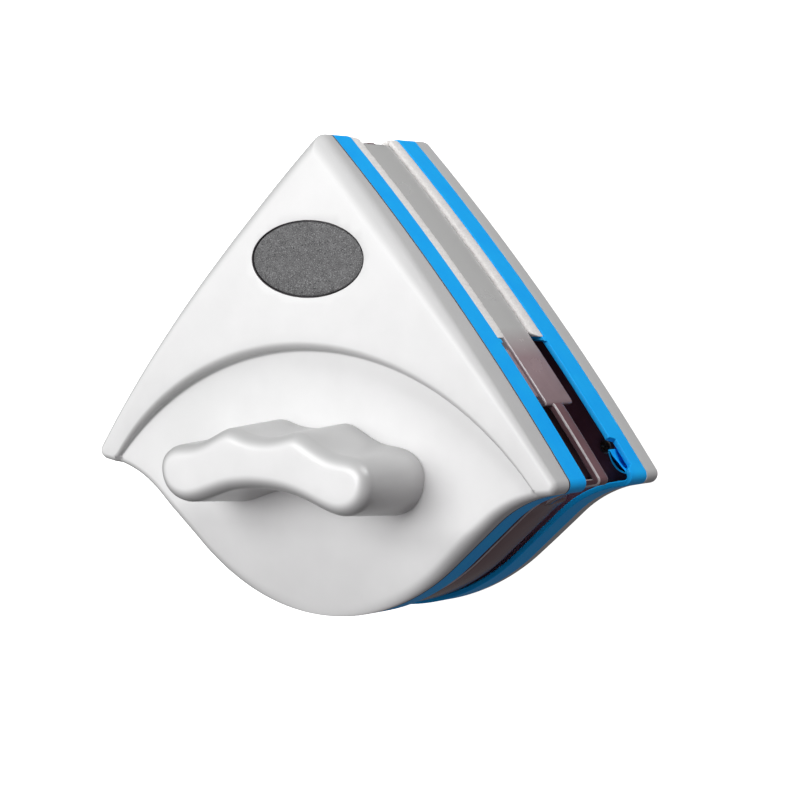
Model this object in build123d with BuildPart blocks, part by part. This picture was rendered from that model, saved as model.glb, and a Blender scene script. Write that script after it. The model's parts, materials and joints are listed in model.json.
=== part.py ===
from build123d import *
import os
from math import atan2, cos, degrees, hypot, radians, sin

os.makedirs("parts", exist_ok=True)

# Double-sided magnetic cleaner for window glass, stored with a spacer between its two units.
# It lies on the outer face of its rear unit: +Z towards the grip, +Y towards the apex.
# Plan positions below are measured from the line through the two lower corners.

# ---- Outline of both units ----
apex_y = 133.5  # where the two upper edges would meet
apex_radius = 3.6
corner = (124.4, -8.5)  # lower right corner before rounding
corner_radius = 3.8
edge_radius = 1120.0  # gentle outward bow of the upper edges
waist = (100.0, -13.2)  # where the underside turns down into the belly
waist_radius = 54.5
waist_near = 86.0  # half widths between which the waist's corner point lies
waist_far = 110.0
belly_y = -104.1  # where the two belly tangents would meet
belly_radius = 100.0
mid_y = 31.57  # height of the outline's middle above the corner line

# ---- Depths through the stack ----
field_depth = 14.4  # crown of the front cover above its parting line
dish_depth = 8.2  # sunk lower part of the front cover, under the crease
rear_field_depth = 11.0  # the rear cover is shallower and flat outside
rear_dish_depth = 6.0
frame_depth = 12.0  # coloured frame, from parting line to pad seat
pad_depth = 6.6  # fleece pad standing proud of the frame
pad_gap = 0.3  # air between a pad and the spacer
block_depth = 19.5  # thick blocks of the spacer

# ---- Covers ----
crown_radius = 640.0
crown_y = 61.0
crease_y = -101.8  # centre of the arc that bounds the dish
crease_radius = 144.8
skin = 2.2
oval_y = 80.4
oval_radii = (29.5, 15.7)
oval_floor = 12.8
oval_groove = 0.35
boss_radius = 3.6
rear_belly_y = -25.0  # the rear dish rounds off below this line
rear_belly_radius = 200.0

# ---- Frames ----
wall = 2.4
web = 2.0
seat_width = 17.0  # seat under each pad, inwards from the outline
seat_thick = 2.0
pad_end_y = 49.5  # pads run from the apex down to here
pad_margin = 0.3
pad_width = 15.0
lip_thick = 1.8
lip_rise = 1.6
notch_top_y = 9.8
notch_low_y = -2.2
notch_depth = 4.1
rail_thick = 5.0
blade_thick = 2.0
blade_root = 3.5  # how far a blade is buried in its rail
blade_inset = 24.0  # blade centre line, inwards from the upper edge's chord
blade_length = 92.0
low_blade_y = -42.0
rail_overhang = 3.0

# ---- Screws ----
screw_radius = 1.5
head_radius = 3.0
head_height = 2.2
recess_width = 0.8
recess_length = 3.8
screw_length = 5.0
screw_places = [(-104.0, 5.0), (104.0, 5.0), (0.0, 93.0), (-34.0, -33.6), (34.0, -33.6)]

# ---- Magnet wells ----
pivot_y = -5.0
well_size = (117.0, 47.0)
well_wall = 1.8
well_floor = 1.5
well_reach = 14.1  # how far the well stands out of the parting line towards the glass
well_corner = 3.5
tray_size = (114.0, 44.0)
tray_corner = 2.5
tray_depth = 8.0
hub_depth = 9.3
tray_gap = 0.2
magnet_size = (31.0, 30.0)
magnet_x = 31.5
magnet_thick = 6.0
yoke_thick = 2.0
post_x = 52.5
post_radius = 2.0
post_socket = 0.9
post_top = 4.5

# ---- Grip, shaft and cam ----
running_gap = 0.05
shaft_radius = 9.0
shaft_low = -8.5
bearing_reach = 2.0
bearing_wall = 3.5
hub_radius = 14.0
grip_gap = 0.3
grip_rise = 35.5
grip_fillet = 6.0
grip_right = [
    (0, 10.4),
    (8.4, 11.3),
    (17.8, 13.1),
    (27.0, 9.8),
    (37.3, 5.8),
    (49.5, 3.8),
    (56.4, -1.8),
    (57.5, -10.0),
    (52.7, -18.8),
    (41.1, -23.1),
    (30.8, -21.2),
    (18.6, -16.3),
    (0, -13.1),
]  # right half of the grip's outline, from top middle to bottom middle
socket_depth = 12.0
turn_deg = 32.0
lift = 5.0
cam_radius = 1.5
cam_height = -5.25
cam_inner = 5.0
cam_outer = 12.0
cam_slot_length = 6.0
cam_steps = 20
clip_thick = 1.0
clip_top = 3.9
clip_groove = 0.8
clip_radius = 11.5
clip_mouth = 8.0
grip_screw_radius = 2.5
grip_screw_head = (4.5, 2.5)
grip_screw_tip = 20.5
hex_sides = 6
detent_x = -21.0
detent_count = 5
ball_radius = 1.8
ball_height = 7.3
track_depth = 0.7
detent_floor = 2.8
detent_wall = 1.5
spring_wire = 0.25
spring_turns = 3

# ---- Spacer ----
spacer_margin = 1.5
plate_low = -1.8
plate_high = 5.0
plate_web = (0.5, 2.7)
plate_rim = 3.0
block_width = 14.0
block_low_y = 22.5
block_corner = 3.0
shoulder_rise = 4.0
shoulder_margin = 3.0
shoulder_width = 8.0
shoulder_span = (26.0, 46.0)
low_block_width = 10.5
low_block_top_y = -10.5
low_block_half = 97.0

# ---- Cord pin in the rear cover ----
cord_y = -12.0
cord_cup = 14.0
cord_cup_wall = 1.5
cord_cup_floor = 1.2
cord_pin_radius = 1.2
cord_pin_height = 7.6
cord_ear = (2.0, 6.0)
cord_ear_top = 9.2

# ---- Helpers ----
over = 1.0  # how far a cut runs past the face it opens
far = 300.0  # longer than any piece
least_fillet = 0.5

z_rear = rear_field_depth
z_front = z_rear + 2 * (frame_depth + pad_depth + pad_gap) + block_depth
pad_face = -(frame_depth + pad_depth)

# A unit's plane lies on its parting line, and its own +Z points away from the glass.
front = Plane(origin=(0, -mid_y, z_front))
rear = Plane(origin=(0, -mid_y, z_rear), x_dir=(-1, 0, 0), z_dir=(0, 0, -1))
middle = Plane(origin=(0, -mid_y, (z_rear + z_front) / 2))
rising = (Align.CENTER, Align.CENTER, Align.MIN)
post_places = [(-post_x, pivot_y), (post_x, pivot_y)]


def finish(builder, name):
    """Label a finished piece and write it."""
    builder.part.label = name
    export_step(builder.part, f"parts/{name}.step")


# ---------------------------------------------------------------- profiles
def inset(amount):
    """The outline moved inwards: offset with sharp corners, then rounded by what is left."""
    with BuildSketch() as sketch:
        with BuildLine():
            Line((0, belly_y), waist)
            Line(waist, corner)
            RadiusArc(corner, (0, apex_y), -edge_radius)
            mirror(about=Plane.YZ)
        make_face()
        if amount:
            offset(amount=-amount, kind=Kind.INTERSECTION, mode=Mode.REPLACE)
        fillet(sketch.vertices().sort_by(Axis.Y)[0], belly_radius - amount)
        low_points = sketch.vertices().filter_by(lambda v: v.Y < waist[1] / 2)
        waists = low_points.filter_by(lambda v: waist_near < abs(v.X) < waist_far)
        fillet(waists, waist_radius + amount)
        if apex_radius > amount + least_fillet:
            fillet(sketch.vertices().sort_by(Axis.Y)[-1], apex_radius - amount)
        if corner_radius > amount + least_fillet:
            fillet(sketch.vertices().sort_by(lambda v: abs(v.X))[-2:], corner_radius - amount)
    return sketch.sketch


outline = inset(0)


def band(outer, inner, low_y, high_y=far, half=0):
    """Band inside the outline between two insets, level at both ends; half picks one side."""
    side_align = {-1: Align.MAX, 0: Align.CENTER, 1: Align.MIN}[half]
    with BuildSketch() as sketch:
        add(inset(outer))
        add(inset(inner), mode=Mode.SUBTRACT)
        with Locations((0, low_y)):
            Rectangle(far, high_y - low_y, align=(side_align, Align.MIN), mode=Mode.INTERSECT)
    return sketch.sketch


def upper_strip(side, thick, length):
    """Straight strip parallel to one upper edge."""
    chord = hypot(corner[0], apex_y - corner[1])
    along = (corner[0] / chord, (corner[1] - apex_y) / chord)
    x = corner[0] / 2 + blade_inset * along[1]
    y = (corner[1] + apex_y) / 2 - blade_inset * along[0]
    with BuildSketch() as sketch:
        with Locations(Location((side * x, y), side * degrees(atan2(along[1], along[0])))):
            Rectangle(length, thick)
    return sketch.sketch


def low_strip(thick, length):
    """Straight strip above the belly."""
    with BuildSketch() as sketch:
        with Locations((0, low_blade_y)):
            Rectangle(length, thick)
    return sketch.sketch


def blade_strips(thick, length):
    """Left, right and low strips that the blades and their rails share."""
    return {
        "left": upper_strip(-1, thick, length),
        "right": upper_strip(1, thick, length),
        "low": low_strip(thick, length),
    }


def slab(profile, low, high):
    """Profile extruded between two heights."""
    with BuildPart() as solid:
        with BuildSketch(Plane.XY.offset(low)):
            add(profile)
        extrude(amount=high - low)
    return solid.part


def rounded_box(size, radius):
    """Rectangle about the pivot with rounded corners."""
    with BuildSketch() as sketch:
        with Locations((0, pivot_y)):
            RectangleRounded(size[0], size[1], radius)
    return sketch.sketch


def posts(places, low, high, radius):
    """Round posts at places in plan, between two heights."""
    with BuildPart() as solid:
        with Locations(*[(x, y, low) for x, y in places]):
            Cylinder(radius, high - low, align=rising)
    return solid.part


# ---------------------------------------------------------------- covers
def cover_block(profile, down):
    """Solid under the crowned field and the dish, lowered by the skin for the inside."""
    with BuildPart() as block:
        with BuildSketch():
            add(profile)
        extrude(amount=field_depth)
        with Locations((0, crown_y, field_depth - down - crown_radius)):
            Cylinder(crown_radius, far, rotation=(0, 90, 0), mode=Mode.INTERSECT)
        with BuildSketch(Plane.XY.offset(dish_depth - down)):
            with Locations((0, crease_y)):
                Circle(crease_radius + down)
        extrude(amount=field_depth, mode=Mode.SUBTRACT)
    return block.part


outer_block = cover_block(outline, 0)
inner_block = cover_block(inset(skin), skin)


def rear_block(profile, down):
    """Solid under the flat rear field and its dish, rounded off towards the belly."""
    with BuildPart() as block:
        with BuildSketch():
            add(profile)
        extrude(amount=rear_field_depth - down)
        with BuildSketch(Plane.XY.offset(rear_dish_depth - down)):
            with Locations((0, crease_y)):
                Circle(crease_radius + down)
        extrude(amount=rear_field_depth, mode=Mode.SUBTRACT)
        add(belly_cut(down), mode=Mode.SUBTRACT)
    return block.part


def belly_cut(down):
    """What the rear dish loses where it rounds off."""
    with BuildPart() as cut:
        with Locations((0, rear_belly_y, 0)):
            Box(far, far, rear_field_depth, align=(Align.CENTER, Align.MAX, Align.MIN))
        with Locations((0, rear_belly_y, rear_dish_depth - down - rear_belly_radius)):
            Cylinder(rear_belly_radius, far, rotation=(0, 90, 0), mode=Mode.SUBTRACT)
    return cut.part


def boss_set(block):
    """Screw bosses trimmed to the outside of a cover."""
    with BuildPart() as bosses:
        add(posts(screw_places, 0, field_depth, boss_radius))
        add(block, mode=Mode.INTERSECT)
        add(posts(screw_places, -over, screw_length - web, screw_radius), mode=Mode.SUBTRACT)
    return bosses.part


with BuildPart(front) as front_cover:
    add(outer_block)
    add(inner_block, mode=Mode.SUBTRACT)
    add(boss_set(outer_block))
    with Locations((0, pivot_y, dish_depth - skin - bearing_reach)):
        Cylinder(shaft_radius + bearing_wall, bearing_reach + skin, align=rising)
    with Locations((detent_x, pivot_y, detent_floor - detent_wall)):
        boss_height = dish_depth - detent_floor + detent_wall
        Cylinder(ball_radius + detent_wall, boss_height, align=rising)
    with Locations((0, pivot_y)):
        Cylinder(shaft_radius + running_gap, far, mode=Mode.SUBTRACT)
    with Locations((detent_x, pivot_y, detent_floor)):
        Cylinder(ball_radius + running_gap, dish_depth, align=rising, mode=Mode.SUBTRACT)
    with BuildSketch(front.offset(oval_floor)):
        with Locations((0, oval_y)):
            Ellipse(*oval_radii)
    extrude(amount=field_depth, mode=Mode.SUBTRACT)
finish(front_cover, "front_cover")

with BuildPart() as oval_blank:
    with BuildSketch(Plane.XY.offset(oval_floor)):
        with Locations((0, oval_y)):
            Ellipse(oval_radii[0] - oval_groove, oval_radii[1] - oval_groove)
    extrude(amount=field_depth)
    add(outer_block, mode=Mode.INTERSECT)
with BuildPart(front) as oval_pad:
    add(oval_blank.part)
finish(oval_pad, "oval_pad")

outer_rear = rear_block(outline, 0)
inner_rear = rear_block(inset(skin), skin)
ear_x = (cord_cup + cord_ear[0]) / 2
cup_outer = cord_cup + 2 * cord_cup_wall
with BuildPart(rear) as rear_cover:
    add(outer_rear)
    add(inner_rear, mode=Mode.SUBTRACT)
    add(boss_set(outer_rear))
    with Locations((0, cord_y, 0)):
        Box(cup_outer, cup_outer, rear_dish_depth, align=rising)
    with Locations((-ear_x, cord_y, 0), (ear_x, cord_y, 0)):
        Box(*cord_ear, cord_ear_top, align=rising)
    with Locations((0, cord_y, cord_cup_floor)):
        Box(cord_cup, cord_cup, field_depth, align=rising, mode=Mode.SUBTRACT)
    with Locations((0, cord_y, cord_pin_height)):
        Cylinder(cord_pin_radius, cup_outer, rotation=(0, 90, 0), mode=Mode.SUBTRACT)
finish(rear_cover, "rear_cover")

with BuildPart(rear) as cord_pin:
    with Locations((0, cord_y, cord_pin_height)):
        Cylinder(cord_pin_radius, cup_outer, rotation=(0, 90, 0))
finish(cord_pin, "cord_pin")


# ---------------------------------------------------------------- frames
def frame_blank():
    """Coloured frame: side wall all round, seats and end lips for the pads, corner notch."""
    seat_low = -frame_depth
    seat_high = seat_thick - frame_depth
    lip_low_y = pad_end_y - lip_thick
    with BuildPart() as blank:
        add(slab(outline, seat_low, 0))
        add(slab(inset(wall), seat_low, 0), mode=Mode.SUBTRACT)
        add(slab(band(wall / 2, seat_width, pad_end_y), seat_low, seat_high))
        add(slab(band(0, seat_width, lip_low_y, pad_end_y), seat_low - lip_rise, seat_high))
        notch = band(0, 2 * wall, notch_low_y, notch_top_y, half=-1)
        add(slab(notch, seat_low - over, seat_low + notch_depth), mode=Mode.SUBTRACT)
    return blank.part


def base_blank():
    """Dark base inside the frame: web, magnet well, blade rails, screw holes, post sockets."""
    low = -well_reach
    well_outer = (well_size[0] + 2 * well_wall, well_size[1] + 2 * well_wall)
    with BuildPart() as blank:
        add(slab(inset(wall), -web, 0))
        add(slab(rounded_box(well_outer, well_corner + well_wall), low, 0))
        add(slab(rounded_box(well_size, well_corner), low + well_floor, over), mode=Mode.SUBTRACT)
        for rail in blade_strips(rail_thick, blade_length + 2 * rail_overhang).values():
            add(slab(rail, -frame_depth, -web / 2))
        for groove in blade_strips(blade_thick, blade_length).values():
            add(slab(groove, -frame_depth - over, blade_root - frame_depth), mode=Mode.SUBTRACT)
        add(posts(screw_places, -web - over, over, screw_radius), mode=Mode.SUBTRACT)
        add(posts(post_places, low + well_floor - post_socket, 0, post_radius), mode=Mode.SUBTRACT)
    return blank.part


def pad_blank(half):
    """Fleece pad along one upper edge."""
    with BuildPart() as blank:
        profile = band(pad_margin, pad_margin + pad_width, pad_end_y, half=half)
        with BuildSketch() as trimmed:
            add(profile)
            with Locations((0, pad_end_y)):
                Rectangle(2 * pad_margin, far, align=(Align.CENTER, Align.MIN), mode=Mode.SUBTRACT)
        add(slab(trimmed.sketch, pad_face, -frame_depth))
    return blank.part


def screw_blank():
    """Five pan-head screws that hold the frame to the cover."""
    with BuildPart() as blank:
        add(posts(screw_places, -web, screw_length - web, screw_radius))
        add(posts(screw_places, -web - head_height, -web, head_radius))
        heads = blank.edges().filter_by(GeomType.CIRCLE).group_by(Axis.Z)[0]
        fillet(heads, head_height / 3)
        with Locations(*[(x, y, -web - head_height) for x, y in screw_places]):
            Box(recess_width, recess_length, head_height, mode=Mode.SUBTRACT)
            Box(recess_length, recess_width, head_height, mode=Mode.SUBTRACT)
    return blank.part


frame_solid = frame_blank()
base_solid = base_blank()
pad_solids = {"left": pad_blank(-1), "right": pad_blank(1)}
screw_solids = screw_blank()
blade_profiles = blade_strips(blade_thick, blade_length)

for unit, name in ((front, "front"), (rear, "rear")):
    with BuildPart(unit) as frame:
        add(frame_solid)
    finish(frame, f"{name}_frame")
    with BuildPart(unit) as base:
        add(base_solid)
    finish(base, f"{name}_base")
    for side, solid in pad_solids.items():
        with BuildPart(unit) as pad:
            add(solid)
        finish(pad, f"{name}_pad_{side}")
    for side, profile in blade_profiles.items():
        with BuildPart(unit) as blade:
            add(slab(profile, pad_face, blade_root - frame_depth))
        finish(blade, f"{name}_blade_{side}")
    with BuildPart(unit) as screws:
        add(screw_solids)
    finish(screws, f"{name}_screws")


# ---------------------------------------------------------------- magnets
def magnet_boxes(low, high):
    """Two square blocks, one each side of the pivot."""
    with BuildPart() as blocks:
        with Locations((-magnet_x, pivot_y, low), (magnet_x, pivot_y, low)):
            Box(*magnet_size, high - low, align=rising)
    return blocks.part


tray_low = well_floor - well_reach + tray_gap
yoke_low = tray_low + magnet_thick
yoke_high = yoke_low + yoke_thick

with BuildPart() as tray_blank:
    add(slab(rounded_box(tray_size, tray_corner), tray_low, tray_low + tray_depth))
    add(magnet_boxes(tray_low, yoke_high), mode=Mode.SUBTRACT)

with BuildPart() as cam_slots:
    for step in range(cam_steps + 1):
        turned = turn_deg * step / cam_steps
        height = cam_height - lift * step / cam_steps
        for side in (0, 180):
            angle = radians(turned + side)
            reach = (cam_outer + shaft_radius) / 2
            with Locations(
                Location(
                    (reach * cos(angle), pivot_y + reach * sin(angle), height),
                    (0, 0, turned + side),
                )
            ):
                Cylinder(cam_radius + 2 * running_gap, cam_slot_length, rotation=(0, 90, 0))

with BuildPart(front) as magnet_carriage:
    add(tray_blank.part)
    add(posts([(0, pivot_y)], tray_low, tray_low + hub_depth, hub_radius))
    bore_top = tray_low + hub_depth + over
    bore_radius = shaft_radius + running_gap
    add(posts([(0, pivot_y)], tray_low - over, bore_top, bore_radius), mode=Mode.SUBTRACT)
    guide_radius = post_radius + running_gap
    add(posts(post_places, tray_low - over, bore_top, guide_radius), mode=Mode.SUBTRACT)
    add(cam_slots.part, mode=Mode.SUBTRACT)
finish(magnet_carriage, "magnet_carriage")

with BuildPart(rear) as rear_tray:
    add(tray_blank.part)
    add(posts(post_places, tray_low - over, bore_top, screw_radius), mode=Mode.SUBTRACT)
finish(rear_tray, "rear_magnet_tray")

with BuildPart(rear) as tray_screws:
    tray_top = tray_low + tray_depth
    add(posts(post_places, well_floor - well_reach - post_socket, tray_top, screw_radius))
    add(posts(post_places, tray_top, tray_top + head_height, head_radius))
finish(tray_screws, "rear_tray_screws")

with BuildPart(front) as guide_posts:
    add(posts(post_places, well_floor - well_reach - post_socket, post_top, post_radius))
finish(guide_posts, "guide_posts")

for unit, name in ((front, "front"), (rear, "rear")):
    with BuildPart(unit) as magnets:
        add(magnet_boxes(tray_low, yoke_low))
    finish(magnets, f"{name}_magnets")
    with BuildPart(unit) as yokes:
        add(magnet_boxes(yoke_low, yoke_high))
    finish(yokes, f"{name}_yokes")


# ---------------------------------------------------------------- grip and shaft
grip_low = dish_depth + grip_gap
detent_radius = -detent_x
detent_angles = [180 - turn_deg * step / (detent_count - 1) for step in range(detent_count)]


def about_pivot(radius, angle):
    """Point in plan on a circle about the pivot."""
    return (radius * cos(radians(angle)), pivot_y + radius * sin(radians(angle)))


with BuildPart(front) as grip:
    with BuildSketch(front.offset(grip_low)):
        with BuildLine():
            Spline(*grip_right, *[(-x, y) for x, y in reversed(grip_right[1:-1])], periodic=True)
        make_face()
    extrude(amount=grip_rise)
    fillet(grip.edges().group_by(Axis.Z)[-1], grip_fillet)
    add(posts([(0, pivot_y)], 0, grip_low + socket_depth, shaft_radius), mode=Mode.SUBTRACT)
    add(posts([(0, pivot_y)], 0, grip_screw_tip, grip_screw_radius), mode=Mode.SUBTRACT)
    with BuildSketch(front.offset(grip_low)):
        with BuildLine():
            track = CenterArc((0, pivot_y), detent_radius, detent_angles[-1], turn_deg)
        SlotArc(track, 2 * (ball_radius + running_gap))
    extrude(amount=track_depth, mode=Mode.SUBTRACT)
    for angle in detent_angles:
        with Locations((*about_pivot(detent_radius, angle), ball_height)):
            Sphere(ball_radius + running_gap, mode=Mode.SUBTRACT)
finish(grip, "grip")

with BuildPart(front) as grip_shaft:
    add(posts([(0, pivot_y)], shaft_low, grip_low + socket_depth, shaft_radius))
    with BuildSketch(front.offset(clip_top - clip_thick)):
        with Locations((0, pivot_y)):
            Circle(shaft_radius + over)
            Circle(shaft_radius - clip_groove, mode=Mode.SUBTRACT)
    extrude(amount=clip_thick, mode=Mode.SUBTRACT)
    for side in (-1, 1):
        with Locations((side * (cam_inner + cam_outer) / 2, pivot_y, cam_height)):
            pin_length = cam_outer - cam_inner
            Cylinder(cam_radius, pin_length, rotation=(0, 90, 0), mode=Mode.SUBTRACT)
    shaft_top = grip_low + socket_depth
    add(posts([(0, pivot_y)], shaft_low, shaft_top, grip_screw_radius), mode=Mode.SUBTRACT)
finish(grip_shaft, "grip_shaft")

with BuildPart(front) as cam_pins:
    for side in (-1, 1):
        with Locations((side * (cam_inner + cam_outer) / 2, pivot_y, cam_height)):
            Cylinder(cam_radius, cam_outer - cam_inner, rotation=(0, 90, 0))
finish(cam_pins, "cam_pins")

with BuildPart(front) as retaining_clip:
    with BuildSketch(front.offset(clip_top - clip_thick)):
        with Locations((0, pivot_y)):
            Circle(clip_radius)
            Circle(shaft_radius - clip_groove, mode=Mode.SUBTRACT)
            Rectangle(
                clip_mouth, clip_radius, align=(Align.CENTER, Align.MAX), mode=Mode.SUBTRACT
            )
    extrude(amount=clip_thick)
finish(retaining_clip, "retaining_clip")

with BuildPart(front) as grip_screw:
    head_radius_big, head_height_big = grip_screw_head
    add(posts([(0, pivot_y)], shaft_low, grip_screw_tip, grip_screw_radius))
    add(posts([(0, pivot_y)], shaft_low - head_height_big, shaft_low, head_radius_big))
    with BuildSketch(front.offset(shaft_low - head_height_big)):
        with Locations((0, pivot_y)):
            RegularPolygon(grip_screw_radius, hex_sides)
    extrude(amount=head_height_big / 2, mode=Mode.SUBTRACT)
finish(grip_screw, "grip_screw")

with BuildPart(front) as detent_ball:
    with Locations((detent_x, pivot_y, ball_height)):
        Sphere(ball_radius)
finish(detent_ball, "detent_ball")

spring_low = detent_floor + spring_wire
spring_height = ball_height - ball_radius - spring_wire - spring_low
spring_radius = ball_radius - 2 * spring_wire
with BuildPart() as coil:
    with BuildLine():
        turns = Helix(spring_height / spring_turns, spring_height, spring_radius)
    with BuildSketch(Plane(origin=turns @ 0, z_dir=turns % 0)):
        Circle(spring_wire)
    sweep(path=turns, is_frenet=True)
with BuildPart(front) as detent_spring:
    with Locations((detent_x, pivot_y, spring_low)):
        add(coil.part)
finish(detent_spring, "detent_spring")


# ---------------------------------------------------------------- spacer
def side_block(half):
    """Thick block under one upper edge, with a shoulder that steps into the front frame."""
    top = block_depth / 2
    outer = spacer_margin + block_width
    with BuildPart() as block:
        add(slab(band(spacer_margin, outer, block_low_y, half=half), -top, top))
        shoulder = band(
            shoulder_margin, shoulder_margin + shoulder_width, *shoulder_span, half=half
        )
        add(slab(shoulder, top, top + shoulder_rise))
    return block.part


def low_block():
    """Thick block along the belly and the waists, level at both ends."""
    with BuildSketch() as profile:
        add(inset(spacer_margin))
        add(inset(spacer_margin + low_block_width), mode=Mode.SUBTRACT)
        with Locations((0, low_block_top_y)):
            Rectangle(
                2 * low_block_half, far, align=(Align.CENTER, Align.MAX), mode=Mode.INTERSECT
            )
    return slab(profile.sketch, -block_depth / 2, block_depth / 2)


blocks = {
    "spacer_block_left": side_block(-1),
    "spacer_block_right": side_block(1),
    "spacer_block_low": low_block(),
}
for name, solid in blocks.items():
    with BuildPart(middle) as block:
        add(solid)
    finish(block, name)

with BuildPart() as plate_blank:
    add(slab(inset(spacer_margin), plate_low, plate_high))
    pocket = inset(spacer_margin + plate_rim)
    add(slab(pocket, plate_low - over, plate_web[0]), mode=Mode.SUBTRACT)
    add(slab(pocket, plate_web[1], plate_high + over), mode=Mode.SUBTRACT)
    for solid in blocks.values():
        add(solid, mode=Mode.SUBTRACT)
with BuildPart(middle) as spacer_plate:
    add(plate_blank.part)
finish(spacer_plate, "spacer_plate")
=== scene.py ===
"""Looks of the magnetic glass cleaner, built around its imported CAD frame.

The cleaner lies on the outer face of its rear unit: +Z points out of the glass towards the grip
and +Y towards the apex. Sizes are millimetres in each unit's own plane: x to the right, y up from
a line just above the two lower corners, h away from the glass above the unit's parting line.
"""

import json
import math

import bmesh
import bpy
import numpy as np
from mathutils import Matrix, Vector, geometry, noise

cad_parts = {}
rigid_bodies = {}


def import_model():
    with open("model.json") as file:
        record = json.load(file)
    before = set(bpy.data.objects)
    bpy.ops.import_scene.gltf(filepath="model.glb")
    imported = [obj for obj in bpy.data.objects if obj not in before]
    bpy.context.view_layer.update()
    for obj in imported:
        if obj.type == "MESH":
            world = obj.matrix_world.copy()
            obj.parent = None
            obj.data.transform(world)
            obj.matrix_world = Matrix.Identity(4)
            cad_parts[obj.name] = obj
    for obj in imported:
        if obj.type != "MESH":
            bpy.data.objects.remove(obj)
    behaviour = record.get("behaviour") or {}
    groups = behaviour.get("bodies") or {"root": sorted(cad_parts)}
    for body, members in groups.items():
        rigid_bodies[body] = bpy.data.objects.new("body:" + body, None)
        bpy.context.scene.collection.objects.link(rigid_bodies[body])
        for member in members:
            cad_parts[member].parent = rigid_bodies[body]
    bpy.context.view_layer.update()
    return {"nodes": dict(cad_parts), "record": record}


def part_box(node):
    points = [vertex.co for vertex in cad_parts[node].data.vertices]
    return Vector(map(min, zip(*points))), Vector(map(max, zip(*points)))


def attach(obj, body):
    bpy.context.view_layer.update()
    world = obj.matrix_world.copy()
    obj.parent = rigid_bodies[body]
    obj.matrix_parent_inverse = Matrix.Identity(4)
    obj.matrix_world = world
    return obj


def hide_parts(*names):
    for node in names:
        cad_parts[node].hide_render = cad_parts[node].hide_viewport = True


for leftover in list(bpy.data.objects):
    bpy.data.objects.remove(leftover)
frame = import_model()

MM = 0.001

# ---------------------------------------------------------------- driving sizes
APEX_Y, APEX_RADIUS = 133.5, 3.6  # where the two upper edges would meet, and its rounding
CORNER, CORNER_RADIUS = (124.4, -8.5), 3.8  # lower right corner before rounding
EDGE_RADIUS = 1120.0  # outward bow of the upper edges
WAIST, WAIST_RADIUS = (100.0, -13.2), 54.5  # where the underside turns down into the belly
BELLY_Y, BELLY_RADIUS = -104.1, 100.0
FRAME_DEPTH, PAD_DEPTH = 12.0, 6.6
WALL = 2.4
CREASE_Y, CREASE_RADIUS = -101.8, 144.8  # arc that bounds the sunk part of each cover
SKIN = 2.2
FIELD, DISH, REAR_FIELD, REAR_DISH = 14.4, 8.2, 11.0, 6.0  # the covers above their parting lines
CROWN_Y, CROWN_RADIUS = 61.0, 640.0
REAR_BELLY_Y, REAR_BELLY_RADIUS = -25.0, 200.0  # the rear dish rounds off below this line
PIVOT_Y = -5.0
SHAFT_HOLE = 9.05
CORD_CUP_HALF, CORD_CUP_ROUND, CORD_CUP_Y = 7.0, 1.2, -12.0
SEAM = 0.9  # depth and height of the groove along each cover's parting line
WINDOW_GAP = 0.35  # chamfer round the oval window, and the inlay's gap inside it
PAD_END_Y = 49.5
SEAT_WIDTH, SEAT_THICK = 17.0, 2.0
OVAL_Y, OVAL_RADII, OVAL_FLOOR = 80.4, (29.5, 15.7), 12.8
GRIP_LOW, GRIP_TOP, GRIP_EDGE, GRIP_TAPER = 8.5, 44.0, 6.0, 2.0
# Right half of the grip's outline, from top middle to bottom middle. Below its middle it is a little
# fuller than the CAD grip, so that it covers the shaft.
GRIP_RIGHT = [
    (0, 10.4),
    (8.4, 11.3),
    (17.8, 13.1),
    (27.0, 9.8),
    (37.3, 5.8),
    (49.5, 3.8),
    (56.4, -1.8),
    (57.5, -10.0),
    (52.7, -18.8),
    (41.1, -23.1),
    (30.8, -21.2),
    (18.6, -17.2),
    (0, -15.0),
]
SPACER_MARGIN = 1.5
BLOCK_WIDTH, BLOCK_LOW_Y, BLOCK_HALF = 14.0, 22.5, 9.75
LOW_BLOCK_WIDTH, LOW_BLOCK_HALF = 10.5, 97.0
PLATE_LOW, PLATE_HIGH, PLATE_RIM, PLATE_WEB = -1.8, 5.0, 3.0, (0.5, 2.7)


# ---------------------------------------------------------------- outline
def arc(centre, radius, start, end, count):
    """Points along an arc, and the directions away from its centre."""
    angles = np.linspace(start, end, count)
    away = np.stack([np.cos(angles), np.sin(angles)], 1)
    return np.array(centre) + radius * away, away


def straight(start, end, count):
    """Points along a line, and the direction square to it."""
    along = (end - start) / np.linalg.norm(end - start)
    return np.linspace(start, end, count), np.tile((-along[1], along[0]), (count, 1))


def angle_of(vector):
    return math.atan2(vector[1], vector[0])


def rounding(before, vertex, after, radius):
    """Centre and ends of the arc that rounds a vertex between two straight lines."""
    u = (before - vertex) / np.linalg.norm(before - vertex)
    v = (after - vertex) / np.linalg.norm(after - vertex)
    half = math.acos(float(u @ v)) / 2
    centre = vertex + (u + v) / np.linalg.norm(u + v) * radius / math.sin(half)
    reach = radius / math.tan(half)
    return centre, vertex + u * reach, vertex + v * reach


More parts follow.
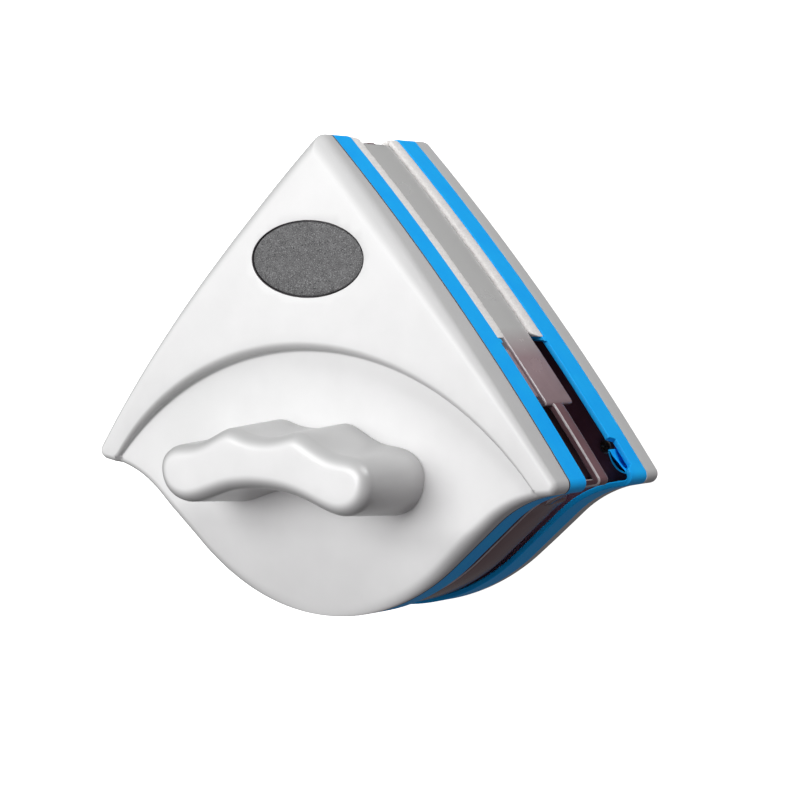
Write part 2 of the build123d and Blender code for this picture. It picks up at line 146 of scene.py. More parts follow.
def make_outline():
    """Clockwise outline from the apex: points and outward directions."""
    apex, corner = np.array((0.0, APEX_Y)), np.array(CORNER)
    waist, belly = np.array(WAIST), np.array((0.0, BELLY_Y))
    chord = corner - apex
    length = np.linalg.norm(chord)
    outward = np.array((-chord[1], chord[0])) / length
    edge_centre = (apex + corner) / 2 - outward * math.sqrt(EDGE_RADIUS**2 - length**2 / 4)

    reach = EDGE_RADIUS - APEX_RADIUS
    apex_centre = np.array((0, edge_centre[1] + math.sqrt(reach**2 - edge_centre[0] ** 2)))
    apex_turn = angle_of(apex_centre - edge_centre)

    under = (waist - corner) / np.linalg.norm(waist - corner)
    up = np.array((under[1], -under[0]))
    start = corner + up * CORNER_RADIUS - edge_centre
    reach = EDGE_RADIUS - CORNER_RADIUS
    along = float(start @ under)
    root = math.sqrt(along**2 - start @ start + reach**2)
    corner_centre = edge_centre + start + (root - along) * under
    if np.linalg.norm(corner_centre - corner) > length / 2:
        corner_centre = edge_centre + start + (-root - along) * under
    corner_turn = angle_of(corner_centre - edge_centre)

    waist_centre, waist_a, waist_b = rounding(corner, waist, belly, WAIST_RADIUS)
    mirrored = waist * (-1, 1)
    belly_centre, belly_a, _ = rounding(waist, belly, mirrored, BELLY_RADIUS)
    turns = [angle_of(p - waist_centre) for p in (waist_a, waist_b)]
    parts = [
        arc(apex_centre, APEX_RADIUS, math.pi / 2, apex_turn, 14),
        arc(edge_centre, EDGE_RADIUS, apex_turn, corner_turn, 150),
        arc(corner_centre, CORNER_RADIUS, corner_turn, angle_of(-up), 16),
        straight(corner_centre - up * CORNER_RADIUS, waist_a, 30),
        arc(waist_centre, WAIST_RADIUS, *turns, 26),
        straight(waist_b, belly_a, 8),
        arc(belly_centre, BELLY_RADIUS, angle_of(belly_a - belly_centre), -math.pi / 2, 44),
    ]
    points = np.concatenate([p[:-1] for p, _ in parts] + [parts[-1][0][-1:]])
    out = np.concatenate([o[:-1] for _, o in parts] + [parts[-1][1][-1:]])
    points = np.concatenate([points, points[-2:0:-1] * (-1, 1)])
    out = np.concatenate([out, out[-2:0:-1] * (-1, 1)])
    return points, out * np.sign((left_of(points) * out).sum(1))[:, None]


def left_of(points):
    """Directions to the left of a closed run of points."""
    along = np.roll(points, -1, 0) - np.roll(points, 1, 0)
    along /= np.linalg.norm(along, axis=1)[:, None]
    return np.stack([-along[:, 1], along[:, 0]], 1)


OUTLINE, OUT = make_outline()
CORNER_INDEX = int(np.argmax(OUTLINE[:, 0]))
UNDERSIDE = np.arange(len(OUTLINE))
UNDERSIDE = (UNDERSIDE > CORNER_INDEX + 7) & (UNDERSIDE < len(OUTLINE) - CORNER_INDEX - 7)
MID_Y = (OUTLINE[:, 1].max() + OUTLINE[:, 1].min()) / 2

FRONT_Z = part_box("front_cover")[0].z / MM
REAR_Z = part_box("rear_cover")[1].z / MM
MIDDLE_Z = (FRONT_Z + REAR_Z) / 2
UNITS = {"front": (1, FRONT_Z), "rear": (-1, REAR_Z), "middle": (1, MIDDLE_Z)}


def placed(points, unit):
    """Unit coordinates in millimetres to the frame, in metres."""
    side, level = UNITS[unit]
    x, y, h = np.asarray(points, float).T
    return np.stack([side * x, y - MID_Y, level + side * h], 1) * MM


# ---------------------------------------------------------------- mesh tools
def moved_in(amount):
    """The outline moved inwards by amount, one value or one a point, its crossed corners trimmed."""
    line = OUTLINE - OUT * np.broadcast_to(amount, len(OUTLINE))[:, None]
    right = line[: len(line) // 2 + 1]
    crossed = np.nonzero(right[:CORNER_INDEX, 0] < 0)[0]
    if len(crossed):
        last = crossed[-1]
        share = right[last, 0] / (right[last, 0] - right[last + 1, 0])
        right[: last + 1] = (0, right[last, 1] + share * (right[last + 1, 1] - right[last, 1]))
    base = right[CORNER_INDEX + 14]
    under = right[CORNER_INDEX + 20] - base
    under /= np.linalg.norm(under)
    rise = (right[:CORNER_INDEX] - base) @ (under[1], -under[0])
    crossed = np.nonzero(rise < 0)[0]
    if len(crossed):
        first = crossed[0]
        share = rise[first - 1] / (rise[first - 1] - rise[first])
        spot = right[first - 1] + share * (right[first] - right[first - 1])
        last = CORNER_INDEX + int(np.argmax((right[CORNER_INDEX:] - spot) @ under > 0))
        while (right[last] - spot) @ under < 0:
            last += 1
        right[first:last] = spot
    return np.concatenate([right, right[-2:0:-1] * (-1, 1)])


def ring(amount, height):
    """The outline moved inwards by amount, at a height; either may be a list, one value a point."""
    return np.column_stack([moved_in(amount), np.broadcast_to(height, len(OUTLINE))])


def loft(rings, wrap=False):
    """Vertices and faces of a skin over rings of equal length."""
    size, total = len(rings[0]), len(rings)
    faces = []
    for k in range(total if wrap else total - 1):
        low, high = k * size, (k + 1) % total * size
        for i in range(size):
            j = (i + 1) % size
            faces.append((low + i, low + j, high + j, high + i))
    return np.concatenate(rings), faces


def inside(points, polygon):
    """Which points lie in a polygon."""
    x, y = points[:, 0][:, None], points[:, 1][:, None]
    x0, y0 = polygon[:, 0], polygon[:, 1]
    x1, y1 = np.roll(x0, -1), np.roll(y0, -1)
    rise = np.where(y1 == y0, 1, y1 - y0)
    crossed = ((y0 > y) != (y1 > y)) & (x < (x1 - x0) * (y - y0) / rise + x0)
    return crossed.sum(1) % 2 == 1


def clearance(points, line):
    """Distance from each point to the nearest point of a line's run."""
    return np.sqrt(((points[:, None] - line[None]) ** 2).sum(2)).min(1)


def cap(border, holes, inner, height):
    """Triangulated skin inside a border, with holes, at the heights that a function gives."""
    loops = [border, *holes]
    edges, start = [], 0
    for loop in loops:
        size = len(loop)
        edges += [(start + i, start + (i + 1) % size) for i in range(size)]
        start += size
    flat = np.concatenate([*loops, inner])
    points, _, faces, *_ = geometry.delaunay_2d_cdt([Vector(p) for p in flat], edges, [], 0, 1e-7)
    points = np.array([tuple(p) for p in points])
    faces = np.array(faces)
    middle = points[faces].mean(1)
    kept = inside(middle, border)
    for hole in holes:
        kept &= ~inside(middle, hole)
    return np.column_stack([points, height(points[:, 0], points[:, 1])]), faces[kept].tolist()


def build(name, skins, unit, material, body, sharp=40, weld=1e-3):
    """One mesh object from skins, welded, with outward normals and edges over an angle kept sharp."""
    mesh = bpy.data.meshes.new(name)
    work = bmesh.new()
    for points, faces in skins:
        made = [work.verts.new(p) for p in placed(points, unit)]
        for face in faces:
            corners = [made[i] for i in face]
            if len(set(corners)) > 2:
                work.faces.new(corners)
    bmesh.ops.remove_doubles(work, verts=work.verts, dist=weld * MM)
    bmesh.ops.dissolve_degenerate(work, dist=weld * MM, edges=work.edges)
    bmesh.ops.delete(work, geom=[v for v in work.verts if not v.link_faces], context="VERTS")
    bmesh.ops.recalc_face_normals(work, faces=work.faces)
    for edge in work.edges:
        edge.smooth = not (len(edge.link_faces) == 2 and edge.calc_face_angle() > math.radians(sharp))
    open_edges = sum(len(e.link_faces) != 2 for e in work.edges)
    if open_edges:
        print("OPEN", name, open_edges)
    work.to_mesh(mesh)
    work.free()
    mesh.polygons.foreach_set("use_smooth", [True] * len(mesh.polygons))
    piece = bpy.data.objects.new(name, mesh)
    bpy.context.scene.collection.objects.link(piece)
    mesh.materials.append(material)
    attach(piece, body)
    return piece


def rounded_prism(points, out, low, high, edge):
    """Closed prism over a plan, its two rims rounded by edge."""
    turns = np.linspace(0, math.pi / 2, 5)
    rows = [(edge * (1 - math.sin(t)), low + edge * (1 - math.cos(t))) for t in turns]
    rows += [(edge * (1 - math.cos(t)), high - edge * (1 - math.sin(t))) for t in turns]
    rings = [np.column_stack([points - out * d, np.full(len(points), h)]) for d, h in rows]
    vertices, faces = loft(rings)
    size = len(points)
    faces.append(tuple(range(size)))
    faces.append(tuple(range(len(vertices) - size, len(vertices))))
    return vertices, faces


def resampled(line, count):
    """A run of points spaced evenly along its length."""
    gone = np.concatenate([[0], np.cumsum(np.linalg.norm(np.diff(line, axis=0), axis=1))])
    spots = np.linspace(0, gone[-1], count)
    return np.stack([np.interp(spots, gone, line[:, k]) for k in range(line.shape[1])], 1)


def upper_run(amount, low_y, start_x=0.0, count=80):
    """Right upper edge moved inwards, from start_x beside the apex down to low_y."""
    line = (OUTLINE - OUT * amount)[: CORNER_INDEX + 1]
    first = int(np.argmax(line[:, 0] > start_x))
    share = (start_x - line[first - 1, 0]) / (line[first, 0] - line[first - 1, 0])
    start = line[first - 1] + share * (line[first] - line[first - 1])
    last = int(np.argmax(line[:, 1] < low_y))
    share = (low_y - line[last - 1, 1]) / (line[last, 1] - line[last - 1, 1])
    end = line[last - 1] + share * (line[last] - line[last - 1])
    return resampled(np.concatenate([[start], line[first:last], [end]]), count)


def softened(points, reach):
    """Closed run of points whose sharp corners are rounded from reach before to reach after."""
    ahead, behind = np.roll(points, -1, 0) - points, points - np.roll(points, 1, 0)
    cosine = (ahead * behind).sum(1) / (np.linalg.norm(ahead, axis=1) * np.linalg.norm(behind, axis=1))
    found, size = [], len(points)
    sharp = cosine < math.cos(math.radians(25))
    near = clearance(points, points[sharp]) < reach if sharp.any() else np.zeros(size, bool)
    for i, point in enumerate(points):
        if not sharp[i]:
            if not near[i]:
                found.append(point)
            continue
        ends = []
        for way in (-1, 1):
            at, left = i, reach
            while True:
                step = points[(at + way) % size] - points[at % size]
                length = np.linalg.norm(step)
                if length >= left:
                    ends.append(points[at % size] + step * left / length)
                    break
                at, left = at + way, left - length
        for t in np.linspace(0, 1, 6):
            found.append((1 - t) ** 2 * ends[0] + 2 * t * (1 - t) * point + t * t * ends[1])
    return np.array(found)


# ---------------------------------------------------------------- materials
def socket(group, name):
    """The enabled socket of that name."""
    return next(s for s in group if s.enabled and s.name == name)


def material(name, tones, roughness, scale, bump=0.0, bump_scale=None, spread=0.06, detail=6.0):
    """Moulded or soft surface: tone drifts between two colours, roughness varies, fine bump.

    scale and bump_scale are in features per metre.
    """
    made = bpy.data.materials.new(name)
    made.use_nodes = True
    nodes, links = made.node_tree.nodes, made.node_tree.links
    shader = nodes["Principled BSDF"]
    place = nodes.new("ShaderNodeTexCoord")
    drift = nodes.new("ShaderNodeTexNoise")
    drift.inputs["Scale"].default_value = scale
    drift.inputs["Detail"].default_value = detail
    links.new(place.outputs["Object"], drift.inputs["Vector"])
    blend = nodes.new("ShaderNodeValToRGB")
    blend.color_ramp.elements[0].position = 0.3
    blend.color_ramp.elements[1].position = 0.7
    blend.color_ramp.elements[0].color = (*tones[0], 1)
    blend.color_ramp.elements[1].color = (*tones[1], 1)
    links.new(drift.outputs["Fac"], blend.inputs["Fac"])
    links.new(blend.outputs["Color"], shader.inputs["Base Color"])
    vary = nodes.new("ShaderNodeMapRange")
    vary.inputs["To Min"].default_value = max(0.0, roughness - spread)
    vary.inputs["To Max"].default_value = min(1.0, roughness + spread)
    links.new(drift.outputs["Fac"], vary.inputs["Value"])
    links.new(vary.outputs["Result"], shader.inputs["Roughness"])
    if bump:
        grain = nodes.new("ShaderNodeTexNoise")
        grain.inputs["Scale"].default_value = bump_scale or scale * 8
        grain.inputs["Detail"].default_value = 3.0
        links.new(place.outputs["Object"], grain.inputs["Vector"])
        raised = nodes.new("ShaderNodeBump")
        raised.inputs["Strength"].default_value = bump
        raised.inputs["Distance"].default_value = 0.0002
        links.new(grain.outputs["Fac"], raised.inputs["Height"])
        links.new(raised.outputs["Normal"], shader.inputs["Normal"])
    return made, shader


def mixed_tone(made, shader, factor, second, blend_type="MIX"):
    """Base colour mixed with, or multiplied by, a second tone, by a factor; either may be a socket."""
    nodes, links = made.node_tree.nodes, made.node_tree.links
    mixed = nodes.new("ShaderNodeMix")
    mixed.data_type = "RGBA"
    mixed.blend_type = blend_type
    links.new(shader.inputs["Base Color"].links[0].from_socket, socket(mixed.inputs, "A"))
    for name, value in (("Factor", factor), ("B", second)):
        if isinstance(value, bpy.types.NodeSocket):
            links.new(value, socket(mixed.inputs, name))
        else:
            socket(mixed.inputs, name).default_value = value
    links.new(socket(mixed.outputs, "Result"), shader.inputs["Base Color"])


def painted_side_shade(made, shader, tone):
    """Painted shade: the colour is multiplied down towards tone where a wall stands upright, standing in
    for the shade on the side walls; faces that look along Z keep their colour.
    """
    nodes, links = made.node_tree.nodes, made.node_tree.links
    split = nodes.new("ShaderNodeSeparateXYZ")
    level = nodes.new("ShaderNodeMath")
    level.operation = "POWER"
    level.inputs[1].default_value = 8.0
    shade = nodes.new("ShaderNodeMapRange")
    shade.inputs["To Min"].default_value = tone
    links.new(nodes["Texture Coordinate"].outputs["Normal"], split.inputs["Vector"])
    links.new(split.outputs["Z"], level.inputs[0])
    links.new(level.outputs["Value"], shade.inputs["Value"])
    mixed_tone(made, shader, 1.0, shade.outputs["Result"], "MULTIPLY")


def paler_above(made, shader, start, end, tone):
    """Clear plastic reads pale where light comes through it, above the ends of the pads."""
    nodes, links = made.node_tree.nodes, made.node_tree.links
    split = nodes.new("ShaderNodeSeparateXYZ")
    share = nodes.new("ShaderNodeMapRange")
    share.inputs["From Min"].default_value = start
    share.inputs["From Max"].default_value = end
    links.new(nodes["Texture Coordinate"].outputs["Object"], split.inputs["Vector"])
    links.new(split.outputs["Y"], share.inputs["Value"])
    mixed_tone(made, shader, share.outputs["Result"], tone)


white_shell, shader = material(
    "white_shell", ((0.82, 0.82, 0.82), (0.85, 0.85, 0.85)), 0.50, 60, 0.10, 2600
)
shader.inputs["Specular IOR Level"].default_value = 0.3
# painted shade on the shell's upright side walls
painted_side_shade(white_shell, shader, 0.64)
white_grip, shader = material(
    "white_grip", ((0.82, 0.82, 0.82), (0.85, 0.85, 0.85)), 0.30, 70, 0.08, 3000
)
# painted shade on the grip's upright sides
painted_side_shade(white_grip, shader, 0.50)
blue_frame, shader = material(
    "blue_frame", ((0.006, 0.41, 1.0), (0.010, 0.45, 1.0)), 0.42, 90, 0.08, 3000
)
shader.inputs["Specular IOR Level"].default_value = 0.2
dark_base, _ = material("dark_base", ((0.20, 0.08, 0.115), (0.25, 0.105, 0.145)), 0.40, 120, 0.12, 2400)
rubber, _ = material("blade_rubber", ((0.022, 0.014, 0.018), (0.036, 0.026, 0.030)), 0.62, 240, 0.2, 3500)
steel, shader = material("steel", ((0.30, 0.31, 0.29), (0.42, 0.43, 0.40)), 0.34, 700, 0.15, 4000)
shader.inputs["Metallic"].default_value = 1.0
magnet, shader = material("magnet", ((0.52, 0.52, 0.50), (0.64, 0.64, 0.61)), 0.28, 260, 0.1, 5200)
shader.inputs["Metallic"].default_value = 1.0
yoke_steel, shader = material("yoke_steel", ((0.30, 0.30, 0.31), (0.42, 0.42, 0.43)), 0.42, 420, 0.2, 3600)
shader.inputs["Metallic"].default_value = 1.0
# Dark plastic of the dark CAD parts; also used as painted shade in the cover's seam groove, along the
# front frame's top chamfer and round the oval window.
dark_plastic, _ = material(
    "dark_plastic", ((0.028, 0.024, 0.028), (0.048, 0.042, 0.046)), 0.48, 150, 0.15, 2600
)
fleece, shader = material(
    "fleece", ((0.74, 0.715, 0.70), (0.86, 0.845, 0.83)), 0.92, 1500, 0.5, 3600, detail=9.0)
shader.inputs["Sheen Weight"].default_value = 0.25
shader.inputs["Sheen Roughness"].default_value = 0.5
smoky, shader = material(
    "smoky_clear", ((0.29, 0.205, 0.222), (0.37, 0.27, 0.29)), 0.24, 55, 0.12, 900, spread=0.10)
shader.inputs["Transmission Weight"].default_value = 0.12
shader.inputs["IOR"].default_value = 1.46
paler_above(smoky, shader, 0.010, 0.022, (0.56, 0.56, 0.555, 1))
clear_edge, shader = material(
    "clear_edge", ((0.42, 0.37, 0.385), (0.62, 0.57, 0.58)), 0.16, 160, 0.12, 900, spread=0.06)
shader.inputs["IOR"].default_value = 1.46
deep_clear, shader = material(
    "deep_clear", ((0.150, 0.078, 0.090), (0.200, 0.110, 0.122)), 0.20, 70, 0.10, 900, spread=0.08)
shader.inputs["IOR"].default_value = 1.46


def speckled():
    """Dark grey rubber with small pale and black flecks."""
    made, shader = material(
        "speckled_oval", ((0.095, 0.095, 0.097), (0.16, 0.16, 0.163)), 0.7, 420, 0.5, 1700
    )
    nodes, links = made.node_tree.nodes, made.node_tree.links
    place = nodes["Texture Coordinate"].outputs["Object"]
    edge = 0.60
    for scale, tone in ((1900, (0.26, 0.26, 0.265, 1)), (2300, (0.03, 0.03, 0.031, 1))):
        flecks = nodes.new("ShaderNodeTexNoise")
        flecks.inputs["Scale"].default_value = scale
        flecks.inputs["Detail"].default_value = 1.0
        flecks.inputs["Roughness"].default_value = 0.4
        cut = nodes.new("ShaderNodeMapRange")
        cut.inputs["From Min"].default_value = edge
        cut.inputs["From Max"].default_value = edge + 0.05
        links.new(place, flecks.inputs["Vector"])
        links.new(flecks.outputs["Fac"], cut.inputs["Value"])
        mixed_tone(made, shader, cut.outputs["Result"], tone)
    return made


speckled_oval = speckled()


# ---------------------------------------------------------------- covers
def step_profile(lip=0.60, hollow=0.25, steep=math.radians(85)):
    """Unit step from the sunk floor (0) to the raised field (1): rounded lip, wall, hollow fillet."""
    low = np.linspace(0, steep, 9)
    hollow_rows = np.stack([hollow * np.sin(low), hollow * (1 - np.cos(low))], 1)
    lip_rows = np.stack([-lip * np.sin(low), 1 - lip * (1 - np.cos(low))], 1)[::-1]
    rise = lip_rows[0, 1] - hollow_rows[-1, 1]
    lip_rows[:, 0] += hollow_rows[-1, 0] + rise / math.tan(steep) - lip_rows[0, 0]
    rows = np.concatenate([hollow_rows, lip_rows])
    rows[:, 0] -= hollow_rows[-1, 0]
    return rows


STEP = step_profile()


def field_height(y):
    """Crowned upper part of the front cover."""
    return FIELD - (y - CROWN_Y) ** 2 / (2 * CROWN_RADIUS)


def front_height(x, y, skin=0.0):
    """Outer face of the front cover, or its inside when skin is given."""
    field = field_height(y)
    step = field - DISH
    run = (np.hypot(x, y - CREASE_Y) - CREASE_RADIUS - skin) / step
    return DISH - skin + step * np.interp(run, STEP[:, 0], STEP[:, 1])


def rear_height(x, y, skin=0.0):
    """Outer face of the rear cover: flat field, shallow dish rounded off towards the belly."""
    below = np.minimum(0, y - REAR_BELLY_Y)
    fall = REAR_BELLY_RADIUS - np.sqrt(REAR_BELLY_RADIUS**2 - below**2)
    dish = REAR_DISH - fall - skin
    run = (np.hypot(x, y - CREASE_Y) - CREASE_RADIUS - skin) / (REAR_FIELD - REAR_DISH)
    return dish + (REAR_FIELD - skin - dish) * np.interp(run, STEP[:, 0], STEP[:, 1])


def crease_points(step_size, skin=0.0):
    """Rows of points along the crease, one for each bend of the step's profile."""
    turns = np.radians(np.arange(-50, 50.01, 0.75))
    found = []
    for across, _ in STEP:
        for turn in turns:
            y = CREASE_Y + CREASE_RADIUS * math.cos(turn)
            radius = CREASE_RADIUS + skin + step_size(y) * across
            found.append((radius * math.sin(turn), CREASE_Y + radius * math.cos(turn)))
    return np.array(found)


def grid_points(spacing):
    """Staggered points over the whole plan."""
    found = []
    for row, y in enumerate(np.arange(-64, 124, spacing * 0.87)):
        for x in np.arange(-122, 122, spacing):
            found.append((x + (row % 2) * spacing / 2, y))
    return np.array(found)


def ellipse(grow, count=96):
    turns = np.linspace(0, 2 * math.pi, count, endpoint=False)
    wide, tall = OVAL_RADII[0] + grow, OVAL_RADII[1] + grow
    return np.stack([wide * np.cos(turns), OVAL_Y + tall * np.sin(turns)], 1)


def circle(radius, count=48):
    turns = np.linspace(0, 2 * math.pi, count, endpoint=False)
    return np.stack([radius * np.cos(turns), PIVOT_Y + radius * np.sin(turns)], 1)


def square(half, round_by, centre_y):
    """Square with rounded corners about the middle line."""
    found = []
    for k in range(4):
        turns = np.linspace(0, math.pi / 2, 6) + k * math.pi / 2
        way = (k + 0.5) * math.pi / 2
        reach = (half - round_by) * math.sqrt(2)
        centre = np.array((reach * math.cos(way), centre_y + reach * math.sin(way)))
        found += [centre + round_by * np.array((math.cos(t), math.sin(t))) for t in turns]
    return np.array(found)


def surface_cap(border, holes, height, inner, spacing):
    """Cap whose inner points keep clear of its border and holes and of each other."""
    fixed = inner[inside(inner, border)]
    fixed = fixed[clearance(fixed, border) > 0.35]
    spare = grid_points(spacing)
    spare = spare[inside(spare, border)]
    spare = spare[clearance(spare, border) > spacing * 0.5]
    for hole in holes:
        spare = spare[(clearance(spare, hole) > spacing * 0.4) & ~inside(spare, hole)]
        fixed = fixed[(clearance(fixed, hole) > 0.3) & ~inside(fixed, hole)]
    spare = spare[clearance(spare, fixed) > spacing * 0.45]
    return cap(border, holes, np.concatenate([fixed, spare]), height)


def cover(height, edge, holes, step_size, spacing, recess=None):
    """Hollow cover: rounded outer skin, inner skin, a rim between them, perhaps a sunk window."""
    turns = np.linspace(0, math.pi / 2, 9)
    half, bevel = SEAM / 2, 0.15
    groove = ((SEAM, 0.0), (SEAM, half), (bevel, half), (0.0, half + bevel), (0.0, SEAM))
    rings = [ring(amount, level) for amount, level in groove]
    drop = np.minimum(edge, height(*OUTLINE.T) - SEAM - 0.05)
    for turn in turns:
        line = moved_in(edge * (1 - np.cos(turn)))
        level = height(line[:, 0], line[:, 1]) - drop * (1 - math.sin(turn))
        rings.append(np.column_stack([line, level]))
    inside_line = ring(SKIN, 0.0)
    inside_wall, inside_top = inside_line.copy(), ring(SKIN + 0.75 * edge, 0.0)
    inside_wall[:, 2] = np.maximum(height(inside_line[:, 0], inside_line[:, 1], SKIN) - 0.75 * drop, 0.1)
    inside_top[:, 2] = np.maximum(height(inside_top[:, 0], inside_top[:, 1], SKIN), 0.2)
    windows = [] if recess is None else [recess(WINDOW_GAP)]
    outer = surface_cap(rings[-1][:, :2], holes + windows, height, crease_points(step_size), spacing)
    inner = surface_cap(
        inside_top[:, :2], holes, lambda x, y: np.maximum(height(x, y, SKIN), 0.2),
        crease_points(step_size, SKIN), 2 * spacing
    )
    skins = [loft(rings[::-1] + [inside_line, inside_wall, inside_top]), outer, inner]
    if windows:
        rows = []
        for grow, sunk in ((WINDOW_GAP, 0.0), (0.1, 0.1), (0.0, WINDOW_GAP), (0.0, None)):
            line = recess(grow)
            level = np.full(len(line), OVAL_FLOOR) if sunk is None else height(*line.T) - sunk
            rows.append(np.column_stack([line, level]))
        vertices, faces = loft(rows)
        faces.append(tuple(range(len(vertices) - len(line), len(vertices))))
        skins.append((vertices, faces))
    for hole in holes:
        levels = [height(hole[:, 0], hole[:, 1], s) for s in (0.0, SKIN)]
        skins.append(loft([np.column_stack([hole, level]) for level in levels]))
    return skins


def edge_rounding(top, bottom):
    """Rounding of a cover's rim at each outline point: by height on the sides, by width below."""
    on_side = np.interp(OUTLINE[:, 1], *top)
    below = np.interp(np.abs(OUTLINE[:, 0]), *bottom)
    return np.where(UNDERSIDE, below, on_side)


def paint_gap_shade(piece):
    """Painted shade: the groove along the front cover's parting line and the walls round its oval window
    take the dark plastic finish, standing in for the shade that falls in them.
    """
    piece.data.materials.append(dark_plastic)
    wide, tall = OVAL_RADII[0] + 0.3, OVAL_RADII[1] + 0.3
    for face in piece.data.polygons:
        x, y, z = face.center / MM
        in_window = math.hypot(x / wide, (y + MID_Y - OVAL_Y) / tall) < 1
        if z - FRONT_Z < SEAM / 2 + 0.05 or in_window and z > FRONT_Z + OVAL_FLOOR - 0.1:
            face.material_index = 1


front_edge = edge_rounding(
    ([-8, 12, 37, 60, 80, 100], [2.6, 3.0, 4.0, 5.2, 6.5, 7.5]),
    ([80, 104, 118], [5.2, 3.6, 2.6]),
)
hole = circle(SHAFT_HOLE)
skins = cover(front_height, front_edge, [hole], lambda y: field_height(y) - DISH, 4.0, ellipse)
front_cover = build("front_cover_shell", skins, "front", white_shell, "front_unit")
# painted shade in the seam groove and round the oval window
paint_gap_shade(front_cover)
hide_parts("front_cover")

rear_edge = edge_rounding(([-8, 60], [3.4, 3.7]), ([80, 104, 118], [1.0, 1.0, 3.4]))
cup = square(CORD_CUP_HALF, CORD_CUP_ROUND, CORD_CUP_Y)
skins = cover(rear_height, rear_edge, [cup], lambda y: REAR_FIELD - REAR_DISH, 4.0)
rear_cover = build("rear_cover_shell", skins, "rear", white_shell, "rear_unit")
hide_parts("rear_cover")


# ---------------------------------------------------------------- oval inlay
def oval_inlay():
    """Domed speckled pad standing in the oval window of the front cover."""
    line = ellipse(-WINDOW_GAP)
    rings = [np.column_stack([line, np.full(len(line), OVAL_FLOOR)])]
    for inset, sunk in ((WINDOW_GAP, 0.75), (0.55, 0.45), (0.9, 0.3)):
        line = ellipse(-inset)
        rings.append(np.column_stack([line, front_height(*line.T) - sunk]))
    border = rings[-1][:, :2]
    spare = grid_points(2.5)
    spare = spare[inside(spare, border)]
    spare = spare[clearance(spare, border) > 1.2]
    top = cap(border, [], spare, lambda x, y: front_height(x, y) - 0.3)
    vertices, faces = loft(rings)
    faces.append(tuple(range(len(border))))
    return [(vertices, faces), top]


oval = build("oval_inlay", oval_inlay(), "front", speckled_oval, "front_unit")
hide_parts("oval_pad")


# ---------------------------------------------------------------- frames
NOTCH_LOW_Y, NOTCH_TOP_Y, NOTCH_DEPTH = -2.2, 9.8, 4.1
TOP_CHAMFER = 0.22


def frame_wall():
    """Coloured wall all round: fine chamfers at both edges, and a notch beside one corner."""
    x, y = OUTLINE.T
    side = (x < 0) & ~UNDERSIDE
    ends = np.clip((y - NOTCH_LOW_Y) / 0.9, 0, 1) * np.clip((NOTCH_TOP_Y - y) / 0.9, 0, 1)
    low = -FRAME_DEPTH + NOTCH_DEPTH * np.where(side, ends, 0)
    edge = 0.45
    rows = [
        ring(TOP_CHAMFER, 0.0),
        ring(0.0, -TOP_CHAMFER),
        ring(0.0, -0.6),
        ring(0.0, low + edge + 0.4),
        ring(0.0, low + edge),
        ring(edge * 0.3, low + edge * 0.3),
        ring(edge, low),
        ring(WALL - edge, low),
        ring(WALL, low + edge),
        ring(WALL, 0.0),
    ]
    return loft(rows, wrap=True)


def seat():
    """Shelf under the pads, following both upper edges."""
    outer = upper_run(WALL / 2, PAD_END_Y)
    inner = upper_run(SEAT_WIDTH, PAD_END_Y)
    return chevron(outer, inner, -FRAME_DEPTH + 0.05, -FRAME_DEPTH + SEAT_THICK, 0.3, 0.8)


def chevron(outer, inner, low, high, edge, reach):
    """Closed prism between two runs of the upper edges and their mirror images."""
    left = outer[::-1] * (-1, 1)
    back = inner[::-1]
    plan = np.concatenate([left, outer[1:], back, inner[1:] * (-1, 1)])
    plan = softened(plan, reach)
    return rounded_prism(plan, left_of(plan), low, high, edge)


def lip(side):
    """Small wall that closes the lower end of one pad."""
    top, bottom = PAD_END_Y, PAD_END_Y - 1.8
    spots = ((0.1, top), (0.1, bottom), (SEAT_WIDTH, bottom), (SEAT_WIDTH, top))
    corners = np.array([upper_run(amount, y)[-1] for amount, y in spots]) * (side, 1)
    sides = zip(corners, np.roll(corners, -1, 0))
    plan = np.concatenate([np.linspace(a, b, 12, endpoint=False) for a, b in sides])
    plan = softened(plan if side > 0 else plan[::-1], 0.6)
    return rounded_prism(plan, left_of(plan), -FRAME_DEPTH - 1.6, -FRAME_DEPTH + SEAT_THICK, 0.35)


def corner_lip():
    """Curved wall behind the notch, from the corner in to the screw boss."""
    control = np.array([(-119.8, -4.6), (-115.4, -3.4), (-112.8, -1.2), (-111.0, 1.8), (-110.2, 4.6)])
    line = resampled(smooth_run(control, 40), 32)
    along = np.gradient(line, axis=0)
    along /= np.linalg.norm(along, axis=1)[:, None]
    across = np.stack([-along[:, 1], along[:, 0]], 1)
    plan = softened(np.concatenate([line + across * 0.6, (line - across * 0.6)[::-1]]), 0.4)
    return rounded_prism(plan, left_of(plan), -FRAME_DEPTH + 0.6, -2.0, 0.3)


def smooth_run(points, count):
    """Open smooth curve through a few points."""
    points = np.concatenate([[2 * points[0] - points[1]], points, [2 * points[-1] - points[-2]]])
    found = []
    for a, b, c, d in zip(points, points[1:], points[2:], points[3:]):
        for t in np.linspace(0, 1, count // (len(points) - 3), endpoint=False):
            found.append(0.5 * (2 * b + (c - a) * t + (2 * a - 5 * b + 4 * c - d) * t**2
                                + (3 * b - a - 3 * c + d) * t**3))
    return np.array(found + [points[-2]])


for unit in ("front", "rear"):
    skins = [frame_wall(), seat(), lip(-1), lip(1), corner_lip()]
    wall = build(f"{unit}_frame_shell", skins, unit, blue_frame, f"{unit}_unit", weld=1e-4)
    if unit == "front":
        # Painted shade: the front frame's top chamfer along the parting seam takes the dark plastic
        # finish, standing in for the shade in the seam.
        wall.data.materials.append(dark_plastic)
        for face in wall.data.polygons:
            if face.center.z / MM > FRONT_Z - TOP_CHAMFER:
                face.material_index = 1
    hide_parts(f"{unit}_frame")


# ---------------------------------------------------------------- fleece pads
PAD_MARGIN, PAD_WIDTH = 0.3, 15.0


